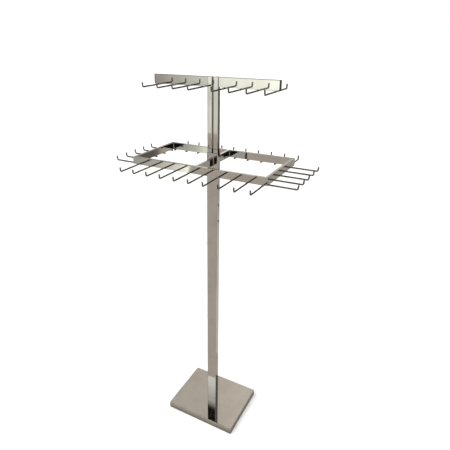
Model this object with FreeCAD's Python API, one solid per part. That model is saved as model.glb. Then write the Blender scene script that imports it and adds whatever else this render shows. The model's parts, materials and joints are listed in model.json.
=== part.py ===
import FreeCAD, Part
import math
import os

# Chrome floor-standing hook rack: a weighted rectangular base, one rectangular column, a fixed
# rectangular hook frame round the top of the column, and two height-adjustable arms above it.
# Origin: on the floor, on the axis of the column. +X to the right arm, +Y to the rear, +Z up.
# All lengths are millimetres.

# ---- driving dimensions ----------------------------------------------------------------------
base_length = 367.0            # along X
base_width = 300.0             # along Y
base_height = 34.0             # floor to the top of the cover
cover_wall = 1.5
cover_edge_radius = 2.2
underlay_thickness = 2.0
underlay_inset = 1.5
bottom_plate_thickness = 2.0
bottom_plate_gap = 0.3         # between the plate and the inside of the cover
weight_thickness = 16.0
weight_gap = 8.0               # between the slab and the inside of the cover

flange_size_x = 116.0
flange_size_y = 84.0
flange_thickness = 6.0
flange_corner = 6.0
bolt_spacing_x = 88.0
bolt_spacing_y = 56.0
bolt_diameter = 8.0
bolt_head_flats = 13.0
bolt_head_height = 5.3
bolt_length = 18.0             # under the head
flange_hole_diameter = 9.0
weight_hole_diameter = 8.6

column_x = 50.8
column_y = 25.4
column_wall = 1.2
least_corner = 0.2             # inside corner of a tube whose wall is as thick as its corner
column_corner = 2.0
column_top = 1403.0
cover_opening_gap = 0.4        # between the column and the hole in the cover

hole_pitch = 76.2
hole_count = 4                 # in each narrow face of the column
top_hole_z = 1324.0
hole_diameter = 10.3

guide_thickness = 7.4
guide_length = 78.0

frame_length = 610.0           # along X, outside
frame_width = 305.0            # along Y, outside
frame_top = 1383.0
rail_height = 31.75
rail_thickness = 12.7
rail_wall = 1.2
rail_corner = 1.4

wire_diameter = 6.35
wire_bite = 0.3                # depth of the weld flat on the wire
wire_end_radius = 1.2
wire_inner_stub = 3.5          # the wire runs this far past the inner face of its rail
hook_reach = 108.0             # rail face to the axis of the tip at the bend
hook_rise = 21.0               # underside of the wire to the top of the tip
hook_bend_radius = 6.5         # on the axis of the wire
hook_lean = 5.0                # degrees that the tip leans outwards
hook_pitch = 63.5
long_rail_hooks = 10
short_rail_hooks = 5

upright_size = 20.0
upright_wall = 1.2
upright_corner = 1.4
upright_gap = 8.0              # between the two uprights
upright_bottom = 1164.0
arm_top = 1704.0
arm_end = 278.0                # column axis to the outer end of each arm
arm_height = 38.1
arm_thickness = 12.7
arm_wall = 1.2
arm_corner = 1.4
upright_cap_plate = 1.5
arm_cap_plate = 4.0
cap_skirt = 10.0
cap_skirt_wall = 1.5
cap_edge_share = 0.3           # edge radius over plate thickness
cap_clearance = 0.2            # between a plug's skirt and its tube

prong_count = 4
prong_pitch = 70.0
prong_first = 51.0             # column axis to the innermost prong
prong_reach = 106.0            # arm face to the axis of the tip at the bend
prong_lean = 5.0

glide_head = 8.0
glide_side_gap = 0.2           # glide to the inside of the column

button_diameter = 9.5
button_standout = 3.4          # past the face of the column
button_flange_diameter = 13.5
button_flange_thickness = 1.5
button_tip_radius = 2.2
spring_gap = 0.3
spring_thickness = 0.8
spring_width = 11.0
spring_drop = 52.0             # button axis to the bend of the spring
spring_pad_half = 7.0          # half the height of the flat behind the button
spring_bend_half = 1.2         # half the width of the spring at its bend


# ---- derived dimensions ----------------------------------------------------------------------
wire_radius = wire_diameter / 2
rail_bottom = frame_top - rail_height
arm_bottom = arm_top - arm_height
upright_inner_x = upright_gap / 2
upright_outer_x = upright_inner_x + upright_size
upright_centre_x = upright_inner_x + upright_size / 2
cover_bottom = underlay_thickness
weight_bottom = cover_bottom + bottom_plate_thickness
flange_bottom = weight_bottom + weight_thickness
column_bottom = flange_bottom + flange_thickness


# ---- helpers ---------------------------------------------------------------------------------
def vec(x, y, z):
    return FreeCAD.Vector(x, y, z)


def block(size_x, size_y, z_low, z_high, centre_x=0.0, centre_y=0.0):
    corner = vec(centre_x - size_x / 2, centre_y - size_y / 2, z_low)
    return Part.makeBox(size_x, size_y, z_high - z_low, corner)


def rounded_bar(size_x, size_y, length, radius):
    """A bar along +Z from the origin, with its four long edges rounded."""
    bar = Part.makeBox(size_x, size_y, length, vec(-size_x / 2, -size_y / 2, 0))
    long_edges = [e for e in bar.Edges if abs(e.tangentAt(e.FirstParameter).z) > 0.99]
    return bar.makeFillet(radius, long_edges)


def tube(size_x, size_y, length, wall, radius):
    """A rectangular tube along +Z from the origin."""
    inner_radius = max(radius - wall, least_corner)
    outside = rounded_bar(size_x, size_y, length, radius)
    inside = rounded_bar(size_x - 2 * wall, size_y - 2 * wall, length, inner_radius)
    return outside.cut(inside)


def placed(shape, centre, axis):
    """Moves a shape made along +Z so that it starts at centre and runs along axis."""
    result = shape.copy()
    if axis == "X":
        result.rotate(vec(0, 0, 0), vec(0, 1, 0), 90)
    if axis == "Y":
        result.rotate(vec(0, 0, 0), vec(1, 0, 0), -90)
    result.translate(centre)
    return result


def mirrored_x(shape):
    return shape.mirror(vec(0, 0, 0), vec(1, 0, 0))


def turned(shape, degrees):
    result = shape.copy()
    result.rotate(vec(0, 0, 0), vec(0, 0, 1), degrees)
    return result


def prism_z(points, z_low, z_high):
    """A vertical prism over a plan outline given as (x, y) points."""
    corners = [vec(x, y, z_low) for x, y in points]
    outline = Part.makePolygon(corners + corners[:1])
    return Part.Face(outline).extrude(vec(0, 0, z_high - z_low))


def save(name, shape):
    clean = shape.removeSplitter()
    if not clean.isValid():
        raise ValueError(name + " is not a valid shape")
    clean.exportStep("parts/" + name + ".step")


# ---- base ------------------------------------------------------------------------------------
def column_opening(gap, z_low, z_high):
    shape = rounded_bar(column_x + 2 * gap, column_y + 2 * gap, z_high - z_low, column_corner + gap)
    shape.translate(vec(0, 0, z_low))
    return shape


def base_cover():
    outside = block(base_length, base_width, cover_bottom, base_height)
    upper = [e for e in outside.Edges if e.BoundBox.ZMax > cover_bottom + 1]
    outside = outside.makeFillet(cover_edge_radius, upper)
    inner_length = base_length - 2 * cover_wall
    inner_width = base_width - 2 * cover_wall
    inside = block(inner_length, inner_width, cover_bottom, base_height - cover_wall)
    upright_edges = [e for e in inside.Edges if abs(e.tangentAt(e.FirstParameter).z) > 0.99]
    inside = inside.makeFillet(cover_edge_radius - cover_wall, upright_edges)
    return outside.cut(inside).cut(column_opening(cover_opening_gap, 0, base_height + 1))


def base_bottom_plate():
    gap = cover_wall + bottom_plate_gap
    return block(base_length - 2 * gap, base_width - 2 * gap, cover_bottom, weight_bottom)


def base_underlay():
    length = base_length - 2 * underlay_inset
    width = base_width - 2 * underlay_inset
    return rounded_bar(length, width, underlay_thickness, cover_edge_radius)


def bolt_places():
    return [(x * bolt_spacing_x / 2, y * bolt_spacing_y / 2) for x in (-1, 1) for y in (-1, 1)]


def with_bolt_holes(shape, diameter):
    for x, y in bolt_places():
        hole = Part.makeCylinder(diameter / 2, base_height, vec(x, y, 0))
        shape = shape.cut(hole)
    return shape


def base_weight():
    inset = cover_wall + weight_gap
    slab = block(base_length - 2 * inset, base_width - 2 * inset, weight_bottom, flange_bottom)
    return with_bolt_holes(slab, weight_hole_diameter)


def column_foot_flange():
    plate = rounded_bar(flange_size_x, flange_size_y, flange_thickness, flange_corner)
    plate.translate(vec(0, 0, flange_bottom))
    return with_bolt_holes(plate, flange_hole_diameter)


def flange_bolt(x, y):
    corner_radius = bolt_head_flats / math.sqrt(3)
    angles = [math.radians(60 * k) for k in range(6)]
    outline = [(x + corner_radius * math.cos(a), y + corner_radius * math.sin(a)) for a in angles]
    head = prism_z(outline, column_bottom, column_bottom + bolt_head_height)
    shank = Part.makeCylinder(bolt_diameter / 2, bolt_length, vec(x, y, column_bottom - bolt_length))
    return head.fuse(shank).removeSplitter()


def flange_bolts():
    return Part.makeCompound([flange_bolt(x, y) for x, y in bolt_places()])


# ---- column ----------------------------------------------------------------------------------
def column_tube():
    shape = tube(column_x, column_y, column_top - column_bottom, column_wall, column_corner)
    shape.translate(vec(0, 0, column_bottom))
    for k in range(hole_count):
        z = top_hole_z - k * hole_pitch
        start = vec(-column_x / 2 - 1, 0, z)
        drill = Part.makeCylinder(hole_diameter / 2, column_x + 2, start, vec(1, 0, 0))
        shape = shape.cut(drill)
    return shape


def column_guide():
    depth = column_y - 2 * column_wall
    return block(guide_thickness, depth, column_top - guide_length, column_top)


# ---- hook frame ------------------------------------------------------------------------------
def long_rail(side):
    """The front (side -1) or rear (side +1) rail, mitred at both ends."""
    centre_y = side * (frame_width - rail_thickness) / 2
    shape = tube(rail_height, rail_thickness, frame_length, rail_wall, rail_corner)
    shape = placed(shape, vec(-frame_length / 2, centre_y, frame_top - rail_height / 2), "X")
    outer_y = side * (frame_width / 2 + 1)
    inner_y = side * (frame_width / 2 - rail_thickness)
    outer_x = frame_length / 2 + 1
    inner_x = frame_length / 2 - rail_thickness
    outline = [(-outer_x, outer_y), (outer_x, outer_y), (inner_x, inner_y), (-inner_x, inner_y)]
    return shape.common(prism_z(outline, rail_bottom - 1, frame_top + 1))


def short_rail(side):
    """The left (side -1) or right (side +1) rail, mitred at both ends."""
    centre_x = side * (frame_length - rail_thickness) / 2
    shape = tube(rail_thickness, rail_height, frame_width, rail_wall, rail_corner)
    shape = placed(shape, vec(centre_x, -frame_width / 2, frame_top - rail_height / 2), "Y")
    outer_x = side * (frame_length / 2 + 1)
    inner_x = side * (frame_length / 2 - rail_thickness)
    outer_y = frame_width / 2 + 1
    inner_y = frame_width / 2 - rail_thickness
    outline = [(outer_x, -outer_y), (outer_x, outer_y), (inner_x, inner_y), (inner_x, -inner_y)]
    return shape.common(prism_z(outline, rail_bottom - 1, frame_top + 1))


def crossbar(side):
    """The stub from the front (side -1) or rear (side +1) rail to the face of the column."""
    start = column_y / 2
    length = frame_width / 2 - rail_thickness - start
    shape = tube(rail_thickness, rail_height, length, rail_wall, rail_corner)
    low_y = start if side > 0 else -start - length
    return placed(shape, vec(0, low_y, frame_top - rail_height / 2), "Y")


# ---- wire hooks ------------------------------------------------------------------------------
def bent_end(start_x, reach, lean, rise):
    """Wire from start_x along +X at z 0, bent up into a tip that leans outwards by lean degrees."""
    turn = 90 - lean
    straight = reach - hook_bend_radius
    run = Part.makeCylinder(wire_radius, straight - start_x, vec(start_x, 0, 0), vec(1, 0, 0))
    disc_edge = Part.makeCircle(wire_radius, vec(straight, 0, 0), vec(1, 0, 0))
    disc = Part.Face(Part.Wire(disc_edge))
    bend = disc.revolve(vec(straight, 0, hook_bend_radius), vec(0, -1, 0), turn)
    angle = math.radians(turn)
    tip_x = straight + hook_bend_radius * math.sin(angle)
    tip_z = hook_bend_radius * (1 - math.cos(angle))
    direction = vec(math.cos(angle), 0, math.sin(angle))
    tip_length = (rise - wire_radius - tip_z) / math.sin(angle)
    tip = Part.makeCylinder(wire_radius, tip_length, vec(tip_x, 0, tip_z), direction)
    end_centre = vec(tip_x, 0, tip_z) + direction * tip_length
    end_edges = [e for e in tip.Edges if e.Closed and (e.BoundBox.Center - end_centre).Length < 0.01]
    tip = tip.makeFillet(wire_end_radius, end_edges)
    return run.fuse([bend, tip]).removeSplitter()


def weld_flat(wire, x_low, x_high):
    """Cuts the shallow flat where the wire meets the tube above it."""
    corner = vec(x_low, -wire_radius, wire_radius - wire_bite)
    cutter = Part.makeBox(x_high - x_low, wire_diameter, wire_radius, corner)
    return wire.cut(cutter)


def frame_hook():
    """A hook along +X whose x is measured from the outer face of its rail, with its flat at z 0."""
    inner_end = -rail_thickness - wire_inner_stub
    wire = bent_end(inner_end, hook_reach, hook_lean, hook_rise)
    wire = weld_flat(wire, -rail_thickness, 0.0)
    wire.translate(vec(0, 0, wire_bite - wire_radius))
    return wire


def arm_prong():
    """A double-ended prong along X, centred under its arm, with its flat at z 0."""
    half_arm = arm_thickness / 2
    half = bent_end(0.0, half_arm + prong_reach, prong_lean, hook_rise)
    wire = half.fuse(mirrored_x(half)).removeSplitter()
    wire = weld_flat(wire, -half_arm, half_arm)
    wire.translate(vec(0, 0, wire_bite - wire_radius))
    return wire


def spread(count, pitch):
    return [(k - (count - 1) / 2) * pitch for k in range(count)]


def save_hook_row(name, count, degrees, rail_face):
    """A row of hooks on one rail: turned to face outwards and numbered along the rail."""
    hook = frame_hook()
    for number, along in enumerate(spread(count, hook_pitch), start=1):
        shape = turned(hook, degrees)
        if degrees in (90, -90):
            shape.translate(vec(along, rail_face, rail_bottom))
        else:
            shape.translate(vec(rail_face, along, rail_bottom))
        save(name + "_" + str(number), shape)


# ---- arms (modelled on the right, mirrored for the left) -------------------------------------
def upright():
    """The inner upright: a square tube that slides in the column, drilled for its button."""
    top = arm_top - upright_cap_plate
    shape = tube(upright_size, upright_size, top - upright_bottom, upright_wall, upright_corner)
    shape.translate(vec(upright_centre_x, 0, upright_bottom))
    start = vec(upright_centre_x, 0, top_hole_z)
    drill = Part.makeCylinder(hole_diameter / 2, upright_size / 2, start, vec(1, 0, 0))
    return shape.cut(drill)


def arm_bar():
    length = arm_end - arm_cap_plate - upright_outer_x
    shape = tube(arm_height, arm_thickness, length, arm_wall, arm_corner)
    return placed(shape, vec(upright_outer_x, 0, arm_top - arm_height / 2), "X")


def plug(size_x, size_y, plate_thickness, wall, radius):
    """A tube plug: its plate stands on z 0, and its skirt hangs below."""
    plate = rounded_bar(size_x, size_y, plate_thickness, radius)
    face_edges = [e for e in plate.Edges if e.BoundBox.ZMin > plate_thickness - 0.01]
    plate = plate.makeFillet(cap_edge_share * plate_thickness, face_edges)
    gap = wall + cap_clearance
    inner_gap = gap + cap_skirt_wall
    skirt = block(size_x - 2 * gap, size_y - 2 * gap, -cap_skirt, 0.0)
    hollow = block(size_x - 2 * inner_gap, size_y - 2 * inner_gap, -cap_skirt, 0.0)
    return plate.fuse(skirt.cut(hollow)).removeSplitter()


def upright_cap():
    shape = plug(upright_size, upright_size, upright_cap_plate, upright_wall, upright_corner)
    shape.translate(vec(upright_centre_x, 0, arm_top - upright_cap_plate))
    return shape


def arm_cap():
    shape = plug(arm_height, arm_thickness, arm_cap_plate, arm_wall, arm_corner)
    return placed(shape, vec(arm_end - arm_cap_plate, 0, arm_top - arm_height / 2), "X")


def arm_prongs():
    prong = turned(arm_prong(), 90)
    prongs = []
    for k in range(prong_count):
        shape = prong.copy()
        shape.translate(vec(prong_first + k * prong_pitch, 0, arm_bottom))
        prongs.append(shape)
    return Part.makeCompound(prongs)


def upright_glide():
    """The plastic plug on the lower end of the upright."""
    depth = column_y - 2 * column_wall - 2 * glide_side_gap
    head = rounded_bar(upright_size, depth, glide_head, upright_corner)
    head.translate(vec(upright_centre_x, 0, upright_bottom - glide_head))
    inside = upright_size - 2 * upright_wall - 2 * cap_clearance
    skirt = block(inside, inside, upright_bottom, upright_bottom + cap_skirt, upright_centre_x)
    return head.fuse(skirt).removeSplitter()


def snap_button():
    """The lock pin: domed outside the column, with a flange that stops it inside the upright."""
    radius = button_diameter / 2
    flange_outer = upright_outer_x - upright_wall
    flange_inner = flange_outer - button_flange_thickness
    tip_x = column_x / 2 + button_standout
    pin = Part.makeCylinder(radius, tip_x - flange_inner, vec(flange_inner, 0, top_hole_z), vec(1, 0, 0))
    tip_edges = [e for e in pin.Edges if e.BoundBox.XMin > tip_x - 0.01]
    pin = pin.makeFillet(button_tip_radius, tip_edges)
    flange_start = vec(flange_inner, 0, top_hole_z)
    flange_radius = button_flange_diameter / 2
    flange = Part.makeCylinder(flange_radius, button_flange_thickness, flange_start, vec(1, 0, 0))
    return pin.fuse(flange).removeSplitter()


def leaf(points):
    """A flat spring leaf through (x, z) points, as wide as the spring along Y."""
    half = spring_thickness / 2
    pieces = []
    for (x1, z1), (x2, z2) in zip(points[:-1], points[1:]):
        length = math.hypot(x2 - x1, z2 - z1)
        run = Part.makeBox(length, spring_width, spring_thickness, vec(0, -spring_width / 2, -half))
        run.rotate(vec(0, 0, 0), vec(0, 1, 0), -math.degrees(math.atan2(z2 - z1, x2 - x1)))
        run.translate(vec(x1, 0, z1))
        pieces.append(run)
    for x, z in points[1:-1]:
        pieces.append(Part.makeCylinder(half, spring_width, vec(x, -spring_width / 2, z), vec(0, 1, 0)))
    return pieces[0].fuse(pieces[1:]).removeSplitter()


def button_spring():
    """The V-shaped leaf spring: one leg behind the button, the other on the far wall."""
    half = spring_thickness / 2
    pad_x = upright_outer_x - upright_wall - button_flange_thickness - spring_gap - half
    wall_x = upright_inner_x + upright_wall + half
    middle_x = (pad_x + wall_x) / 2
    points = [
        (pad_x, top_hole_z + spring_pad_half),
        (pad_x, top_hole_z - spring_pad_half),
        (middle_x + spring_bend_half, top_hole_z - spring_drop),
        (middle_x - spring_bend_half, top_hole_z - spring_drop),
        (wall_x, top_hole_z - spring_pad_half),
        (wall_x, top_hole_z + spring_pad_half),
    ]
    return leaf(points)


# ---- write every piece -----------------------------------------------------------------------
def main():
    os.makedirs("parts", exist_ok=True)
    save("base_cover", base_cover())
    save("base_bottom_plate", base_bottom_plate())
    save("base_underlay", base_underlay())
    save("base_weight", base_weight())
    save("column_foot_flange", column_foot_flange())
    save("flange_bolts", flange_bolts())
    save("column_tube", column_tube())
    save("column_guide", column_guide())

    save("front_rail", long_rail(-1))
    save("rear_rail", long_rail(1))
    save("left_rail", short_rail(-1))
    save("right_rail", short_rail(1))
    save("front_crossbar", crossbar(-1))
    save("rear_crossbar", crossbar(1))

    save_hook_row("front_hook", long_rail_hooks, -90, -frame_width / 2)
    save_hook_row("rear_hook", long_rail_hooks, 90, frame_width / 2)
    save_hook_row("left_hook", short_rail_hooks, 180, -frame_length / 2)
    save_hook_row("right_hook", short_rail_hooks, 0, frame_length / 2)

    arm_pieces = {
        "upright": upright(),
        "upright_cap": upright_cap(),
        "arm_bar": arm_bar(),
        "arm_cap": arm_cap(),
        "arm_prongs": arm_prongs(),
        "upright_glide": upright_glide(),
        "snap_button": snap_button(),
        "button_spring": button_spring(),
    }
    for name, shape in arm_pieces.items():
        save("right_" + name, shape)
        save("left_" + name, mirrored_x(shape))


main()
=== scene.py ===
import json
import math
import random

import bpy
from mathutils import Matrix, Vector


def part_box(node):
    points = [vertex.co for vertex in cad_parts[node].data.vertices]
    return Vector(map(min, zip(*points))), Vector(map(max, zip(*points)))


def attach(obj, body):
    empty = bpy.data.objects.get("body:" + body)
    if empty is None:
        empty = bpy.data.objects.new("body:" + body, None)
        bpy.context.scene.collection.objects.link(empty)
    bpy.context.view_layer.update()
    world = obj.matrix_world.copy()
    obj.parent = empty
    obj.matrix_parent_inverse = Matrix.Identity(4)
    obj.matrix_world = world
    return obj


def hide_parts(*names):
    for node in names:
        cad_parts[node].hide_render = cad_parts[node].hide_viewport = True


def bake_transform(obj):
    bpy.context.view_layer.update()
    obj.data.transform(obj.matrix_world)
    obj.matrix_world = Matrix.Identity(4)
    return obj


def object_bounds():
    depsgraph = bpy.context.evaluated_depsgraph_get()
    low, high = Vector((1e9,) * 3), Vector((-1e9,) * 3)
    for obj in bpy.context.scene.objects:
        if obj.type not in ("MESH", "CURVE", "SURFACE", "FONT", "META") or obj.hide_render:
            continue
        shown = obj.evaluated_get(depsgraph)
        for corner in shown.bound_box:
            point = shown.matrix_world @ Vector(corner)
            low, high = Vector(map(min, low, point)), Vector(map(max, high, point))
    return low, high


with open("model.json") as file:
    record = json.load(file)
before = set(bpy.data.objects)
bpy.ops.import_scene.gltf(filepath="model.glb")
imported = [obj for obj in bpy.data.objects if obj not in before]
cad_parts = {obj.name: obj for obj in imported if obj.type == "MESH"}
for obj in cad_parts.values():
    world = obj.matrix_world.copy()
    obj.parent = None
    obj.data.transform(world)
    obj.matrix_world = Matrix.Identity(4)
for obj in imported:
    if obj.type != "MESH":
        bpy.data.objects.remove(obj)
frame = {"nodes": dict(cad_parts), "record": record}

cad_low, cad_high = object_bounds()
MM = 0.001

# ---- camera ----------------------------------------------------------------------------------
CAMERA_PLACE = (0.830, -1.536, 1.861)
CAMERA_YAW = 28.8              # degrees, turned to the left of +Y
CAMERA_PITCH = 24.65           # degrees below the horizon
CAMERA_LENS = 33.98
CAMERA_SHIFT = (0.0323, 0.0047)


def add_object(name, data):
    added = bpy.data.objects.new(name, data)
    bpy.context.scene.collection.objects.link(added)
    return added


def make_camera():
    data = bpy.data.cameras.new("camera")
    data.lens = CAMERA_LENS
    data.sensor_width = 36.0
    data.shift_x, data.shift_y = CAMERA_SHIFT
    camera = add_object("camera", data)
    camera.location = CAMERA_PLACE
    camera.rotation_euler = (math.radians(90 - CAMERA_PITCH), 0.0, math.radians(CAMERA_YAW))
    bpy.context.scene.camera = camera


# ---- node helpers ----------------------------------------------------------------------------
def new_node(tree, kind, inputs=None, **settings):
    """Adds a node: settings are its properties, inputs maps socket names or numbers to values."""
    node = tree.nodes.new(kind)
    for name, value in settings.items():
        setattr(node, name, value)
    for name, value in (inputs or {}).items():
        if isinstance(value, bpy.types.NodeSocket):
            tree.links.new(value, node.inputs[name])
        else:
            node.inputs[name].default_value = value
    return node


def math_node(tree, operation, first, second=0.0, clamp=False):
    node = new_node(tree, "ShaderNodeMath", {0: first, 1: second}, operation=operation,
                    use_clamp=clamp)
    return node.outputs[0]


def remap(tree, value, low, high, to_low=0.0, to_high=1.0, kind="SMOOTHSTEP"):
    """Maps low..high onto to_low..to_high, held at the ends."""
    node = new_node(tree, "ShaderNodeMapRange", {"Value": value, "From Min": low, "From Max": high,
                    "To Min": to_low, "To Max": to_high}, interpolation_type=kind)
    return node.outputs["Result"]


# Sockets of a mix node that is set to colours.
MIX_FACTOR, MIX_FIRST, MIX_SECOND, MIX_RESULT = 0, 6, 7, 2


def mix_colour(tree, factor, first, second):
    """The first colour where the factor is 0, the second where it is 1."""
    inputs = {MIX_FACTOR: factor, MIX_FIRST: first, MIX_SECOND: second}
    return new_node(tree, "ShaderNodeMix", inputs, data_type="RGBA").outputs[MIX_RESULT]


def product(tree, first, second):
    return math_node(tree, "MULTIPLY", first, second)


BLUE_SHARE = 1.6               # how much more warmth takes from blue than it adds to red


def grey(level, warmth=0.0):
    """A linear colour of that level, a little warmer or cooler than neutral."""
    return (level * (1 + warmth), level, level * (1 - BLUE_SHARE * warmth), 1.0)


def axes_of(tree, vector):
    """The X, Y and Z of a vector."""
    return new_node(tree, "ShaderNodeSeparateXYZ", {0: vector}).outputs


def scene_axes(tree):
    """The X, Y and Z of a point in the scene, in metres."""
    return axes_of(tree, new_node(tree, "ShaderNodeNewGeometry").outputs["Position"])


def place(tree, stretch=(1.0, 1.0, 1.0)):
    """The point on the object in metres, with each axis scaled by stretch."""
    point = new_node(tree, "ShaderNodeTexCoord").outputs["Object"]
    mapping = new_node(tree, "ShaderNodeMapping", {"Vector": point, "Scale": stretch})
    return mapping.outputs["Vector"]


def noise(tree, vector, scale, detail=2.0, roughness=0.5):
    node = new_node(tree, "ShaderNodeTexNoise", {"Vector": vector, "Scale": scale, "Detail": detail,
                    "Roughness": roughness})
    return node.outputs["Fac"]


# ---- studio: what polished metal mirrors -----------------------------------------------------
# Directions are compass degrees (0 to the rear, 90 to the right) and degrees above the horizon.
TAUPE = (0.42, 0.37, 0.315, 1.0)
MIST = (0.50, 0.475, 0.43, 1.0)
PALE = (0.83, 0.81, 0.73, 1.0)
STONE = (0.39, 0.375, 0.34, 1.0)
SAND = (0.55, 0.51, 0.44, 1.0)
DUSK = (0.34, 0.315, 0.27, 1.0)
GLOW = (0.88, 0.875, 0.81, 1.0)
BRONZE = (0.49, 0.44, 0.375, 1.0)
BUFF = (0.585, 0.52, 0.45, 1.0)
DIM = (0.20, 0.185, 0.16, 1.0)
DARK = (0.11, 0.10, 0.085, 1.0)
BLACK = (0.008, 0.007, 0.005, 1.0)
# (degrees above the horizon, colour)
SKY = [(-90, DUSK), (-45, TAUPE), (-24, MIST), (-7, PALE), (-1, PALE), (1, DIM), (6, DIM),
       (36, DIM), (46, DARK), (90, DARK)]
# name: (colour, compass from, to, softness, height from, to, softness)
CARDS = {
    "rear left wall": (STONE, -80.0, -2.0, 5.0, 7.0, 33.0, 4.0),
    "rear left softbox": (PALE, -31.5, -2.0, 8.0, 7.0, 33.0, 4.0),
    "rear softbox edge": (SAND, -22.5, -2.0, 4.0, 7.0, 33.0, 4.0),
    "rear right softbox": (PALE, 47.0, 92.0, 5.0, 7.0, 33.0, 4.0),
    "front right softbox": (PALE, 112.0, 136.0, 5.0, 7.0, 33.0, 4.0),
    "left softbox": (PALE, -134.0, -92.0, 5.0, 7.0, 33.0, 4.0),
    "front wall": (PALE, -190.0, -130.0, 4.0, -26.0, 3.0, 4.0),
    "rear board": (BRONZE, -75.0, -2.0, 6.0, 38.0, 60.0, 3.0),
    "rear board end": (BUFF, -27.0, -2.0, 8.0, 38.0, 60.0, 3.0),
    "rear left floor": (MIST, -62.0, 0.0, 6.0, -46.0, -11.0, 5.0),
    "rear right floor": (SAND, 0.0, 80.0, 6.0, -70.0, -14.5, 2.5),
    "rear right floor edge": (DUSK, 0.0, 60.0, 6.0, -23.0, -12.0, 10.0),
    "doorway": (DARK, 22.5, 37.5, 2.0, -11.0, 50.0, 2.0),
    "door post": (DARK, 24.5, 29.2, 0.8, -14.8, -10.0, 0.4),
    "door shadow": (BLACK, 26.5, 29.2, 0.6, -15.2, -13.9, 0.4),
    "far post": (DARK, 35.8, 39.5, 0.8, -20.0, -10.0, 0.8),
    "left post": (DARK, -120.0, -60.0, 10.0, -18.5, -12.5, 2.0),
    "photographer": (BLACK, 128.0, 166.0, 8.0, -34.0, 12.0, 10.0),
}
# Cards whose edges run level along X. Heights are degrees from the front horizon over the top.
LEVEL_CARDS = {
    "front lamp": (GLOW, -180.0, -130.0, 6.0, 39.0, 51.2, 0.3),
    "front lamp edge": (MIST, -180.0, -130.0, 6.0, 49.3, 54.0, 3.8),
    "front ceiling": (BLACK, -190.0, -120.0, 6.0, 51.0, 88.0, 0.3),
}
# Mirrored floor and front wall: outlines in metres, seen in the polished metal only. The floor
# stops short where the mirrors would turn the view back on itself.
FLOOR_OUTLINE = [(0.8, 0.35), (-12.0, 0.35), (-12.0, -6.05), (0.0, -6.05), (0.0, -1.0), (0.8, -1.0)]
WALL_FROM, WALL_TO, WALL_TOP = -12.0, 3.0, 2.4
# The taupe carpet ends along the line X = CARPET_EDGE + CARPET_SLANT * Y. Tones beyond it change
# with the distance from that line over the distance in front of the stand: (that ratio, tone).
CARPET_EDGE, CARPET_SLANT = -0.183, 0.557
CARPET_BLUR = 0.002            # of the carpet's edge, in that ratio
LEAST_FORWARD = 0.3            # the distance in front counts as no less than this
TONE_REACH = 0.25              # the largest ratio that the tones cover
FLOOR_TONES = [(0.0, 1.22), (0.02, 1.1), (0.05, 0.80), (0.10, 0.61), (0.16, 0.46), (0.22, 0.39)]
WALL_TONES = [(-0.25, 1.22), (-0.07, 0.97), (-0.062, 0.90), (-0.044, 0.84), (-0.040, 1.12),
              (-0.030, 0.97), (-0.026, 0.70), (0.03, 0.61), (0.08, 0.51), (0.13, 0.42),
              (0.18, 0.34)]
# (share that is left of the tone, and the Y or Z between which it rises to the whole)
FLOOR_FAR = (0.70, -4.4, -4.1)
WALL_FOOT = (0.78, 0.75, 1.0)
REDDER_BELOW, REDDER_BY = 0.8, 0.15  # darker tones gain red
TONE_BLUE = 0.88
CONTACT_REACH = 0.07           # how far the base darkens the mirrored floor, in metres
CONTACT_ENDS = 2.2             # how much sooner that ends in front of the base and behind it
CARD_DROP = 0.001              # mirrored floor under the real one
FLOOR_SIZE = 400.0
FLOOR_LEVEL = 0.92


def colour_ramp(tree, value, low, high, stops):
    """A colour for each value, from stops of (value, colour) that lie between low and high."""
    share = remap(tree, value, low, high, kind="LINEAR")
    ramp = new_node(tree, "ShaderNodeValToRGB", {"Fac": share})
    elements = ramp.color_ramp.elements
    while len(elements) > 1:
        elements.remove(elements[0])
    for k, (stop, colour) in enumerate(stops):
        position = (stop - low) / (high - low)
        element = elements[0] if k == 0 else elements.new(position)
        element.position = position
        element.color = colour
    return ramp.outputs["Color"]


def band(tree, value, low, high, softness):
    """1 between low and high, 0 outside, with soft ends."""
    half = softness / 2
    rise = remap(tree, value, low - half, low + half)
    fall = remap(tree, value, high - half, high + half)
    return math_node(tree, "SUBTRACT", rise, fall, clamp=True)


def make_world():
    """The camera sees a plain white backdrop. Everything else sees the studio."""
    world = bpy.data.worlds.new("studio")
    bpy.context.scene.world = world
    world.use_nodes = True
    tree = world.node_tree
    tree.nodes.clear()
    direction = new_node(tree, "ShaderNodeTexCoord").outputs["Generated"]
    axes = axes_of(tree, direction)
    up = math_node(tree, "DEGREES", math_node(tree, "ARCSINE", axes["Z"]))
    compass = math_node(tree, "DEGREES", math_node(tree, "ARCTAN2", axes["X"], axes["Y"]))
    colour = colour_ramp(tree, up, -90.0, 90.0, SKY)
    ahead = product(tree, axes["Y"], -1.0)
    over = math_node(tree, "DEGREES", math_node(tree, "ARCTAN2", axes["Z"], ahead))
    for cards, height in ((CARDS, up), (LEVEL_CARDS, over)):
        for card, turn_low, turn_high, turn_soft, up_low, up_high, up_soft in cards.values():
            across = band(tree, compass, turn_low, turn_high, turn_soft)
            upward = band(tree, height, up_low, up_high, up_soft)
            colour = mix_colour(tree, product(tree, across, upward), colour, card)
    seen = new_node(tree, "ShaderNodeLightPath").outputs["Is Camera Ray"]
    colour = mix_colour(tree, seen, colour, grey(1.0))
    background = new_node(tree, "ShaderNodeBackground", {"Color": colour, "Strength": 1.0})
    output = new_node(tree, "ShaderNodeOutputWorld")
    tree.links.new(background.outputs[0], output.inputs["Surface"])


# ---- stage -----------------------------------------------------------------------------------
def base_shader(name):
    material = bpy.data.materials.new(name)
    material.use_nodes = True
    tree = material.node_tree
    return material, tree, tree.nodes["Principled BSDF"]


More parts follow.
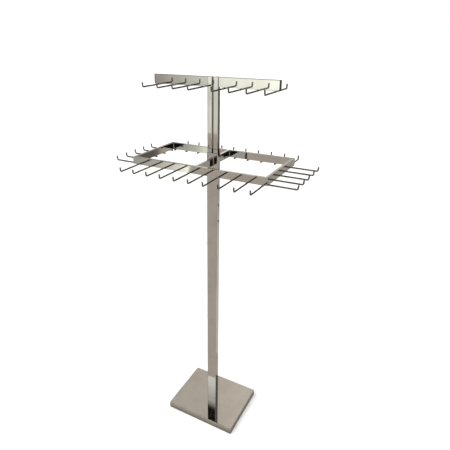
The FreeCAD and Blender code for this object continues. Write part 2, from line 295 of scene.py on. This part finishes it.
def make_floor():
    bpy.ops.mesh.primitive_plane_add(size=FLOOR_SIZE, location=(0, 0, cad_low.z))
    floor = bpy.context.object
    floor.name = "studio_floor"
    material, tree, shader = base_shader("studio_floor")
    shader.inputs["Base Color"].default_value = grey(FLOOR_LEVEL)
    shader.inputs["Roughness"].default_value = 1.0
    floor.data.materials.append(material)
    floor.visible_glossy = False


def contact_shadow(tree):
    """1 against the right, front and rear of the base, fading to 0 away from it."""
    low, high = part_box("base_cover")
    axes = scene_axes(tree)
    right = math_node(tree, "SUBTRACT", axes["X"], high.x)
    front = math_node(tree, "SUBTRACT", low.y, axes["Y"])
    rear = math_node(tree, "SUBTRACT", axes["Y"], high.y)
    along_y = product(tree, math_node(tree, "MAXIMUM", front, rear), CONTACT_ENDS)
    beside = math_node(tree, "MAXIMUM", right, along_y)
    return remap(tree, beside, 0.0, CONTACT_REACH, 1.0, 0.0)


def warm_tone(level):
    """A tone of the mirrored room: the darker, the redder."""
    red = level * (1.0 + REDDER_BY * max(0.0, REDDER_BELOW - level))
    return (red, level, level * TONE_BLUE, 1.0)


def mirrored_card(name, corners, tone_of):
    """A glowing card that shows in reflections only; tone_of adds its colour to the node tree."""
    mesh = bpy.data.meshes.new(name)
    mesh.from_pydata(corners, [], [list(range(len(corners)))])
    card = add_object(name, mesh)
    material, tree, shader = base_shader(name)
    shader.inputs["Base Color"].default_value = (0, 0, 0, 1)
    shader.inputs["Specular IOR Level"].default_value = 0.0
    shader.inputs["Emission Strength"].default_value = 1.0
    tree.links.new(tone_of(tree), shader.inputs["Emission Color"])
    mesh.materials.append(material)
    card.visible_camera = False
    card.visible_diffuse = False
    card.visible_shadow = False


def past_carpet(tree):
    """A point's distance to the left of the carpet's edge over that in front of the stand."""
    axes = scene_axes(tree)
    edge = math_node(tree, "ADD", product(tree, axes["Y"], CARPET_SLANT), CARPET_EDGE)
    forward = math_node(tree, "MAXIMUM", product(tree, axes["Y"], -1.0), LEAST_FORWARD)
    return math_node(tree, "DIVIDE", math_node(tree, "SUBTRACT", edge, axes["X"]), forward)


def fade(tree, colour, axis, reach):
    """Dims the colour to a share of itself on the low side of a stretch of one axis."""
    share, low, high = reach
    loss = remap(tree, scene_axes(tree)[axis], low, high, 1 - share, 0.0)
    return mix_colour(tree, loss, colour, grey(0.0))


def tone_ramp(tree, past, tones):
    stops = [(ratio, warm_tone(level)) for ratio, level in tones]
    return colour_ramp(tree, past, -TONE_REACH, TONE_REACH, stops)


def floor_tone(tree):
    past = past_carpet(tree)
    carpet = mix_colour(tree, contact_shadow(tree), TAUPE, DIM)
    tiles = fade(tree, tone_ramp(tree, past, FLOOR_TONES), "Y", FLOOR_FAR)
    return mix_colour(tree, remap(tree, past, -CARPET_BLUR, CARPET_BLUR), carpet, tiles)


def wall_tone(tree):
    return fade(tree, tone_ramp(tree, past_carpet(tree), WALL_TONES), "Z", WALL_FOOT)


def make_mirrored_room():
    ground = cad_low.z - CARD_DROP
    front = min(y for x, y in FLOOR_OUTLINE)
    mirrored_card("mirrored_floor", [(x, y, ground) for x, y in FLOOR_OUTLINE], floor_tone)
    wall = [(WALL_FROM, front, ground), (WALL_TO, front, ground), (WALL_TO, front, WALL_TOP),
            (WALL_FROM, front, WALL_TOP)]
    mirrored_card("mirrored_wall", wall, wall_tone)


# name: (place it shines from, strength, angle in degrees)
SUNS = {
    "key": ((-2.0, -2.4, 4.5), 2.6, 60.0),
    "fill": ((2.6, -0.6, 4.0), 1.5, 90.0),
}


def make_lights():
    """Two broad suns: even light on the floor and soft shadows, and no hot spots in the metal."""
    for name, (source, strength, angle) in SUNS.items():
        data = bpy.data.lights.new(name, "SUN")
        data.energy = strength
        data.angle = math.radians(angle)
        lamp = add_object(name, data)
        lamp.location = source
        lamp.rotation_euler = (-lamp.location).to_track_quat("-Z", "Y").to_euler()
        lamp.visible_glossy = False


# ---- materials -------------------------------------------------------------------------------
def add_bump(tree, shader, *layers):
    """Stacks bump layers, each (height, distance in metres)."""
    normal = None
    for height, distance in layers:
        inputs = {"Height": height, "Distance": distance, "Strength": 1.0}
        bump = new_node(tree, "ShaderNodeBump", inputs)
        if normal is not None:
            tree.links.new(normal, bump.inputs["Normal"])
        normal = bump.outputs["Normal"]
    tree.links.new(normal, shader.inputs["Normal"])


def stretched(across, along, axis):
    """Noise scales that are longer along one axis."""
    scales = [across, across, across]
    scales["XYZ".index(axis)] = along
    return scales


# Marks on chrome. Each pair is the stretch of a noise's values over which its mark comes in.
HAND_FILM = (0.42, 0.68)
GLOSS_FILM = (0.35, 0.70)
SPECKS = (0.66, 0.74)
SPECK_SHARE = 0.25
SCRATCHES = (0.62, 0.80)
SCRATCH_ROUGHNESS = 0.08
SCRATCH_DEPTH = 0.0000012
DUST_PATCHES = (0.35, 0.7)
DUST_LEAST = 0.3
LYING = (0.7, 0.95)            # upward share of a face's normal over which dust comes in
# Painted shade: the hidden inside of a tube, seen through its holes, is coloured near black and
# given a rougher skin.
HOLLOW_SHADE_TONE = (0.030, 0.027, 0.022, 1.0)
HOLLOW_ROUGHNESS = 0.3
HOLLOW_SHADE_EDGE = 0.004               # height over which the painted shade fades out
TUBE_SKIN = 0.0002             # depth at which the inside of a tube begins
TUBE_CORNER = 0.0014           # the same for two depths together, which spares the corners


def chrome(name, light, dark, along, rough=(0.03, 0.07), wave=0.00003, dust=0.0, hollow_shade=None):
    """Polished chrome plate: hand smudges, hair scratches along one axis, and a slow wave.

    The part whose share the last argument's mask gives is painted near black and made rougher:
    painted shade for the hidden inside of a tube.
    """
    material, tree, shader = base_shader(name)
    shader.inputs["Metallic"].default_value = 1.0
    smudge = noise(tree, place(tree), scale=11.0, detail=5.0, roughness=0.62)
    spots = noise(tree, place(tree), scale=140.0, detail=3.0, roughness=0.55)
    hair = noise(tree, place(tree, stretched(260.0, 5.0, along)), 1.0, detail=4.0, roughness=0.7)
    tone = mix_colour(tree, remap(tree, smudge, *HAND_FILM), light, dark)
    speck = remap(tree, spots, *SPECKS)
    tone = mix_colour(tree, product(tree, speck, SPECK_SHARE), tone, dark)
    gloss = remap(tree, smudge, *GLOSS_FILM, *rough)
    # Painted shade: near black and rougher over the hidden inside of a tube.
    if hollow_shade:
        share = hollow_shade(tree)
        tone = mix_colour(tree, share, tone, HOLLOW_SHADE_TONE)
        gloss = math_node(tree, "ADD", gloss, product(tree, share, HOLLOW_ROUGHNESS))
    tree.links.new(tone, shader.inputs["Base Color"])
    gloss = math_node(tree, "ADD", gloss, remap(tree, hair, *SCRATCHES, 0.0, SCRATCH_ROUGHNESS))
    if dust:
        facing = axes_of(tree, new_node(tree, "ShaderNodeNewGeometry").outputs["Normal"])
        lying = remap(tree, facing["Z"], *LYING)
        clouds = noise(tree, place(tree), scale=26.0, detail=8.0, roughness=0.7)
        patch = remap(tree, clouds, *DUST_PATCHES, DUST_LEAST, 1.0)
        gloss = math_node(tree, "ADD", gloss, product(tree, product(tree, lying, patch), dust))
    tree.links.new(gloss, shader.inputs["Roughness"])
    slow = noise(tree, place(tree), scale=17.0, detail=1.0)
    add_bump(tree, shader, (slow, wave), (hair, SCRATCH_DEPTH))
    return material


def rough_chrome(name):
    """Plated weld: the same metal with a rippled, slightly burnt skin."""
    material, tree, shader = base_shader(name)
    shader.inputs["Metallic"].default_value = 1.0
    grain = noise(tree, place(tree), scale=900.0, detail=3.0, roughness=0.6)
    tone = mix_colour(tree, remap(tree, grain, 0.35, 0.7), grey(0.62, 0.01), grey(0.34, 0.05))
    tree.links.new(tone, shader.inputs["Base Color"])
    tree.links.new(remap(tree, grain, 0.3, 0.7, 0.12, 0.30), shader.inputs["Roughness"])
    add_bump(tree, shader, (grain, 0.00006))
    return material


def moulded_nylon(name):
    """Matt black plastic with a fine moulded grain."""
    material, tree, shader = base_shader(name)
    fine = noise(tree, place(tree), scale=2600.0, detail=2.0)
    broad = noise(tree, place(tree), scale=120.0, detail=3.0)
    tone = mix_colour(tree, remap(tree, broad, 0.3, 0.7), grey(0.012), grey(0.022, -0.02))
    tree.links.new(tone, shader.inputs["Base Color"])
    tree.links.new(remap(tree, broad, 0.3, 0.7, 0.38, 0.52), shader.inputs["Roughness"])
    shader.inputs["Specular IOR Level"].default_value = 0.35
    add_bump(tree, shader, (fine, 0.00002))
    return material


def foam(name):
    """Black foam sheet with open cells."""
    material, tree, shader = base_shader(name)
    cells = new_node(tree, "ShaderNodeTexVoronoi", {"Vector": place(tree), "Scale": 1400.0})
    cells = cells.outputs["Distance"]
    tone = mix_colour(tree, remap(tree, cells, 0.0, 0.6), grey(0.018), grey(0.060, 0.02))
    tree.links.new(tone, shader.inputs["Base Color"])
    shader.inputs["Roughness"].default_value = 0.95
    add_bump(tree, shader, (cells, 0.0002))
    return material


def primer(name):
    """Dark primer with orange peel, worn through in places."""
    material, tree, shader = base_shader(name)
    peel = noise(tree, place(tree), scale=420.0, detail=2.0)
    chips = noise(tree, place(tree), scale=34.0, detail=8.0, roughness=0.7)
    wear = remap(tree, chips, 0.62, 0.66)
    tone = mix_colour(tree, wear, grey(0.035, 0.01), grey(0.12, 0.04))
    tree.links.new(tone, shader.inputs["Base Color"])
    tree.links.new(remap(tree, peel, 0.3, 0.7, 0.42, 0.60), shader.inputs["Roughness"])
    add_bump(tree, shader, (peel, 0.00008))
    return material


RUST = (0.20, 0.085, 0.035, 1.0)


def mill_slab(name):
    """Black mill scale with pits and patches of rust."""
    material, tree, shader = base_shader(name)
    scale = noise(tree, place(tree), scale=24.0, detail=9.0, roughness=0.68)
    pits = noise(tree, place(tree), scale=300.0, detail=4.0, roughness=0.6)
    tone = mix_colour(tree, remap(tree, scale, 0.38, 0.62), grey(0.10, -0.03), grey(0.20, 0.03))
    spots = noise(tree, place(tree), scale=62.0, detail=6.0, roughness=0.7)
    tone = mix_colour(tree, remap(tree, spots, 0.60, 0.70), tone, RUST)
    tree.links.new(tone, shader.inputs["Base Color"])
    tree.links.new(remap(tree, scale, 0.3, 0.7, 0.55, 0.85), shader.inputs["Roughness"])
    shader.inputs["Metallic"].default_value = 0.6
    add_bump(tree, shader, (pits, 0.0003))
    return material


GRAIN_ROUGHNESS = 0.16


def plated_steel(name, light, dark, along, roughness):
    """Plain plated or oiled steel with a drawn grain along one axis."""
    material, tree, shader = base_shader(name)
    shader.inputs["Metallic"].default_value = 1.0
    grain = noise(tree, place(tree, stretched(900.0, 30.0, along)), 1.0, detail=3.0, roughness=0.6)
    cloud = noise(tree, place(tree), scale=90.0, detail=3.0)
    tone = mix_colour(tree, remap(tree, cloud, 0.35, 0.65), light, dark)
    tree.links.new(tone, shader.inputs["Base Color"])
    gloss = remap(tree, grain, 0.3, 0.7, roughness, roughness + GRAIN_ROUGHNESS)
    tree.links.new(gloss, shader.inputs["Roughness"])
    add_bump(tree, shader, (grain, 0.00001))
    return material


CHROME_LIGHT = (0.800, 0.795, 0.785, 1.0)
CHROME_DARK = (0.745, 0.738, 0.722, 1.0)
# Painted shade: the wires' chrome is coloured far darker than the tubes' to stand in for the dark
# that the thin round wires mirror.
SHADED_WIRE_LIGHT = (0.26, 0.255, 0.245, 1.0)
SHADED_WIRE_DARK = (0.18, 0.176, 0.168, 1.0)
ZINC_LIGHT = (0.64, 0.65, 0.66, 1.0)
ZINC_DARK = (0.54, 0.53, 0.47, 1.0)
# Painted shade: the snap buttons are coloured near black so that the column holes they sit in read
# dark.
HOLE_SHADE_LIGHT = grey(0.035, 0.02)
HOLE_SHADE_DARK = grey(0.018)


def below(level):
    """Mask for chrome()'s painted shade: the part of a sliding tube that never leaves the tube
    round it.
    """
    def share(tree):
        height = axes_of(tree, place(tree))["Z"]
        return remap(tree, height, level - HOLLOW_SHADE_EDGE, level, 1.0, 0.0)
    return share


def inside(corner):
    """Mask for chrome()'s painted shade: the inner faces of an upright tube, given an outer corner
    of it.
    """
    def share(tree):
        axes = axes_of(tree, place(tree))
        far = [math_node(tree, "ABSOLUTE", axes[axis]) for axis in (0, 1)]
        within = [math_node(tree, "LESS_THAN", depth, edge - TUBE_SKIN)
                  for depth, edge in zip(far, corner)]
        both = math_node(tree, "ADD", *far)
        spared = math_node(tree, "LESS_THAN", both, corner[0] + corner[1] - TUBE_CORNER)
        return product(tree, product(tree, *within), spared)
    return share


def make_materials():
    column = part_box("column_tube")[1]
    plate = (CHROME_LIGHT, CHROME_DARK)
    wire = (SHADED_WIRE_LIGHT, SHADED_WIRE_DARK)
    fine_grain = {"rough": (0.08, 0.14), "wave": 0.0}
    pan_finish = {"rough": (0.008, 0.03), "wave": 0.00002, "dust": 0.004}
    return {
        # The column's inner faces and the uprights' hidden lengths are painted near black as shade.
        "chrome column inner shade": chrome("chrome_column_inner_shade", *plate, "Z", hollow_shade=inside(column)),
        "chrome tube upright": chrome("chrome_tube_upright", *plate, "Z"),
        "chrome tube sliding hidden shade": chrome("chrome_tube_sliding_hidden_shade", *plate, "Z", hollow_shade=below(column[2])),
        "chrome tube along x": chrome("chrome_tube_along_x", *plate, "X"),
        "chrome tube along y": chrome("chrome_tube_along_y", *plate, "Y"),
        "chrome pan": chrome("chrome_pan", *plate, "X", **pan_finish),
        # Both wire chromes are darkened as painted shade.
        "shaded chrome wire along x": chrome("shaded_chrome_wire_along_x", *wire, "X", **fine_grain),
        "shaded chrome wire along y": chrome("shaded_chrome_wire_along_y", *wire, "Y", **fine_grain),
        "chrome weld": rough_chrome("chrome_weld"),
        "black_nylon": moulded_nylon("black_nylon"),
        "foam_rubber": foam("foam_rubber"),
        "painted_steel": primer("painted_steel"),
        "cast_weight": mill_slab("cast_weight"),
        "zinc_steel": plated_steel("zinc_steel", ZINC_LIGHT, ZINC_DARK, "Z", 0.22),
        "spring_steel": plated_steel("spring_steel", grey(0.44), grey(0.30, 0.03), "Z", 0.20),
        "shaded button steel": plated_steel("shaded_button_steel", HOLE_SHADE_LIGHT, HOLE_SHADE_DARK, "Z", 0.30),
    }


def finish_of(node, slot):
    """The name of a CAD node's finish: its chrome depends on which way the piece runs."""
    # The snap buttons take near-black steel: painted shade in the column's holes.
    if node.endswith("_snap_button"):
        return "shaded button steel"
    # The uprights and the column take chrome with painted shade where they are hidden inside.
    if node in ("left_upright", "right_upright"):
        return "chrome tube sliding hidden shade"
    if node == "column_tube":
        return "chrome column inner shade"
    if slot != "chrome":
        return slot
    if node == "base_cover":
        return "chrome pan"
    # Hooks and prongs take the wire chrome that is darkened as painted shade.
    if node.startswith(("left_hook", "right_hook")):
        return "shaded chrome wire along x"
    if "_hook" in node or "prongs" in node:
        return "shaded chrome wire along y"
    if node in ("left_rail", "right_rail", "front_crossbar", "rear_crossbar"):
        return "chrome tube along y"
    if "rail" in node or "arm_bar" in node:
        return "chrome tube along x"
    return "chrome tube upright"


def dress_nodes(materials):
    slots = {part["node"]: part["material_slot"] for part in frame["record"]["subparts"]}
    for name, node in frame["nodes"].items():
        node.data.materials.clear()
        node.data.materials.append(materials[finish_of(name, slots[name])])


# ---- welds and seams -------------------------------------------------------------------------
WELD_STEP = 0.45 * MM          # between the rings of a bead
WELD_SIDES = 8
SEAM_RADIUS = 0.28 * MM
WIRE_WELD_RADIUS = 1.5 * MM
TUBE_WELD_RADIUS = 1.7 * MM
BEAD_RIPPLE, SEAM_RIPPLE = 0.16, 0.3
RIPPLE_TURN = 2.1              # radians of ripple from ring to ring
RIPPLE_PHASE = 6.0             # largest random start of the ripple, in radians
RIPPLE_SPREAD = 0.4            # random share of the ripple
TAPER_START, TAPER_RISE = 0.3, 0.25  # share of the radius at the end ring, and gain per ring
TOE = 0.4 * MM                 # from the face of a tube to the middle of its bead
rng = random.Random(41)


class Beads:
    """Collects weld beads into one mesh."""

    def __init__(self):
        self.verts = []
        self.faces = []

    def add(self, path, across, radius, ripple=BEAD_RIPPLE):
        """A rippled round bead along a bent line; across is square to every stretch of it."""
        points = []
        for start, end in zip(path, path[1:]):
            steps = max(2, round((end - start).length / WELD_STEP))
            points += [start.lerp(end, k / steps) for k in range(steps)]
        points.append(path[-1])
        last = len(points) - 1
        first_vert = len(self.verts)
        phase = rng.uniform(0.0, RIPPLE_PHASE)
        for k, point in enumerate(points):
            ahead = points[min(k + 1, last)] - points[max(k - 1, 0)]
            side = ahead.normalized().cross(across)
            taper = min(1.0, TAPER_START + TAPER_RISE * min(k, last - k))
            wave = ripple * math.sin(RIPPLE_TURN * k + phase)
            size = radius * taper * (1 + wave + ripple * rng.uniform(-RIPPLE_SPREAD, RIPPLE_SPREAD))
            for n in range(WELD_SIDES):
                turn = 2 * math.pi * n / WELD_SIDES
                offset = across * (size * math.cos(turn)) + side * (size * math.sin(turn))
                self.verts.append(point + offset)
        for k in range(last):
            for n in range(WELD_SIDES):
                here = first_vert + k * WELD_SIDES
                there = here + WELD_SIDES
                after = (n + 1) % WELD_SIDES
                self.faces.append((here + n, here + after, there + after, there + n))
        self.faces.append([first_vert + n for n in range(WELD_SIDES)])
        self.faces.append([first_vert + last * WELD_SIDES + n for n in range(WELD_SIDES)])

    def build(self, name, body, material):
        mesh = bpy.data.meshes.new(name)
        mesh.from_pydata(self.verts, [], self.faces)
        mesh.polygons.foreach_set("use_smooth", [True] * len(mesh.polygons))
        mesh.materials.append(material)
        piece = add_object(name, mesh)
        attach(piece, body)


AXIS_X, AXIS_Y, AXIS_Z = Vector((1, 0, 0)), Vector((0, 1, 0)), Vector((0, 0, 1))
WIRE_WELD_INSET = 0.8 * MM     # from the edges of the bar
WIRE_WELD_DROP = 0.9 * MM      # below the bar
WIRE_WELD_BITE = 0.1 * MM      # into the wire


def wire_welds(name, body, bar, wires, run, material):
    """A bead along each side of every wire, under its bar; run is 0 or 1 for one along X or Y."""
    bar_low, bar_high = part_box(bar)
    beads = Beads()
    across = AXIS_Y if run == 0 else AXIS_X
    for centre, radius in wires:
        for side in (-1, 1):
            path = []
            for along in (bar_low[run] + WIRE_WELD_INSET, bar_high[run] - WIRE_WELD_INSET):
                point = Vector((0, 0, bar_low.z - WIRE_WELD_DROP))
                point[run] = along
                point[1 - run] = centre + side * (radius - WIRE_WELD_BITE)
                path.append(point)
            beads.add(path, across, WIRE_WELD_RADIUS)
    beads.build(name, body, material)


def hook_wires(side, run):
    """(centre across the wire, radius) of each wire hook on one side of the frame."""
    across = 1 - run
    wires = []
    for name in sorted(frame["nodes"]):
        if name.startswith(side + "_hook_"):
            low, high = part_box(name)
            wires.append(((low[across] + high[across]) / 2, (high[across] - low[across]) / 2))
    return wires


PRONGS = 4


def prong_wires(side, radius):
    """(centre across the wire, radius) of each prong under one arm."""
    low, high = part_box(side + "_arm_prongs")
    first, last = low.x + radius, high.x - radius
    return [(first + (last - first) * k / (PRONGS - 1), radius) for k in range(PRONGS)]


RAIL_END_INSET = 1.5 * MM
CORNER_INSET = 1.6 * MM
CORNER_TOE = 0.3 * MM
SEAM_INSET = 0.7 * MM          # the mitre seam ends short of the rounded corner
ARM_WELD_INSET = 1.2 * MM


def crossbar_welds(bar, sign, material):
    """Beads round the column end of a crossbar and up both sides of its rail end."""
    low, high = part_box(bar)
    near, far = (high.y, low.y) if sign < 0 else (low.y, high.y)
    left, right, bottom, top = low.x - TOE, high.x + TOE, low.z - TOE, high.z + TOE
    round_it = ((left, top), (right, top), (right, bottom), (left, bottom), (left, top))
    beads = Beads()
    beads.add([Vector((x, near + sign * TOE, z)) for x, z in round_it], AXIS_Y, TUBE_WELD_RADIUS)
    for x in (left, right):
        heights = (high.z - RAIL_END_INSET, low.z + RAIL_END_INSET)
        rail_end = [Vector((x, far - sign * TOE, z)) for z in heights]
        beads.add(rail_end, AXIS_X, TUBE_WELD_RADIUS)
    beads.build(bar + "_welds", "stand", material)


def corner_welds(material):
    """The ground mitre seams over and under each frame corner, and the bead inside it."""
    low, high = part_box("front_rail")
    thick = high.y - low.y
    half_x, half_y = high.x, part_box("rear_rail")[1].y
    beads, seams = Beads(), Beads()
    for sign_x in (-1, 1):
        for sign_y in (-1, 1):
            inner = Vector((sign_x * (half_x - thick), sign_y * (half_y - thick), 0.0))
            outer = Vector((sign_x * (half_x - SEAM_INSET), sign_y * (half_y - SEAM_INSET), 0.0))
            foot = inner - Vector((sign_x, sign_y, 0.0)) * CORNER_TOE
            bead = [foot + AXIS_Z * (high.z - CORNER_INSET), foot + AXIS_Z * (low.z + CORNER_INSET)]
            beads.add(bead, AXIS_X, TUBE_WELD_RADIUS)
            across = Vector((sign_x, -sign_y, 0.0)).normalized()
            for height in (high.z, low.z):
                level = AXIS_Z * height
                seams.add([outer + level, inner + level], across, SEAM_RADIUS, SEAM_RIPPLE)
    beads.build("frame_corner_welds", "stand", material)
    seams.build("frame_mitre_seams", "stand", material)


def arm_welds(side, material):
    """A bead down the front, along the bottom and up the back of an arm at its upright."""
    low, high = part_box(side + "_arm_bar")
    x = high.x - TOE if side == "left" else low.x + TOE
    front, rear, bottom, top = low.y - TOE, high.y + TOE, low.z - TOE, high.z - ARM_WELD_INSET
    round_it = ((front, top), (front, bottom), (rear, bottom), (rear, top))
    beads = Beads()
    beads.add([Vector((x, y, z)) for y, z in round_it], AXIS_X, TUBE_WELD_RADIUS)
    beads.build(side + "_arm_weld", side + "_arm", material)


def make_welds(material):
    for side, run in (("front", 1), ("rear", 1), ("left", 0), ("right", 0)):
        wires = hook_wires(side, run)
        wire_welds(side + "_hook_welds", "stand", side + "_rail", wires, run, material)
    wire_radius = hook_wires("front", 1)[0][1]
    for side in ("left", "right"):
        wires = prong_wires(side, wire_radius)
        wire_welds(side + "_prong_welds", side + "_arm", side + "_arm_bar", wires, 1, material)
        arm_welds(side, material)
    crossbar_welds("front_crossbar", -1, material)
    crossbar_welds("rear_crossbar", 1, material)
    corner_welds(material)


# ---- button springs --------------------------------------------------------------------------
LEAF_THICKNESS = 0.8 * MM
LEAF_EDGE = 0.25 * MM          # radius of its long edges
LEAF_PAD = 14.0 * MM           # height of the flat behind the button
LEAF_BEND = 1.2 * MM           # half the width of the V at its foot
CORNER_SHARE = 0.25            # of each stretch that one round of cutting takes from its ends


def cut_corners(points, rounds=4):
    """Rounds a bent line by cutting its corners; its two ends stay."""
    for _ in range(rounds):
        smooth = [points[0]]
        for start, end in zip(points, points[1:]):
            smooth += [start.lerp(end, CORNER_SHARE), start.lerp(end, 1 - CORNER_SHARE)]
        points = smooth + [points[-1]]
    return points


def spring_leaf(side, material):
    """The V spring as one bent strip: one leg lies behind the button, one against the upright."""
    node = side + "_button_spring"
    low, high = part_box(node)
    half = LEAF_THICKNESS / 2
    outward = -1 if side == "left" else 1
    pad_x, wall_x = low.x + half, high.x - half
    if outward > 0:
        pad_x, wall_x = wall_x, pad_x
    middle_x = (pad_x + wall_x) / 2
    foot, knee = low.z + half, high.z - LEAF_PAD
    corners = [(pad_x, high.z), (pad_x, knee), (middle_x + outward * LEAF_BEND, foot),
               (middle_x - outward * LEAF_BEND, foot), (wall_x, knee), (wall_x, high.z)]
    path = cut_corners([Vector((x, 0, z)) for x, z in corners])
    wide = (high.y - low.y) / 2
    flat, deep = wide - LEAF_EDGE, half - LEAF_EDGE
    section = [(flat, half), (wide, deep), (wide, -deep), (flat, -half),
               (-flat, -half), (-wide, -deep), (-wide, deep), (-flat, half)]
    count, last = len(section), len(path) - 1
    verts, faces = [], []
    for k, point in enumerate(path):
        along = (path[min(k + 1, last)] - path[max(k - 1, 0)]).normalized()
        thick = along.cross(AXIS_Y)
        verts += [point + AXIS_Y * across + thick * depth for across, depth in section]
    for k in range(last):
        for n in range(count):
            here, there, after = k * count, (k + 1) * count, (n + 1) % count
            faces.append((here + n, here + after, there + after, there + n))
    faces += [list(range(count)), [last * count + n for n in range(count)]]
    mesh = bpy.data.meshes.new(side + "_spring_leaf")
    mesh.from_pydata(verts, [], faces)
    mesh.materials.append(material)
    leaf = add_object(side + "_spring_leaf", mesh)
    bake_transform(leaf)
    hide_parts(node)


def main():
    make_camera()
    make_world()
    make_floor()
    make_mirrored_room()
    make_lights()
    materials = make_materials()
    dress_nodes(materials)
    make_welds(materials["chrome weld"])
    for side in ("left", "right"):
        spring_leaf(side, materials["spring_steel"])
    bpy.context.scene.view_settings.view_transform = "Standard"


main()
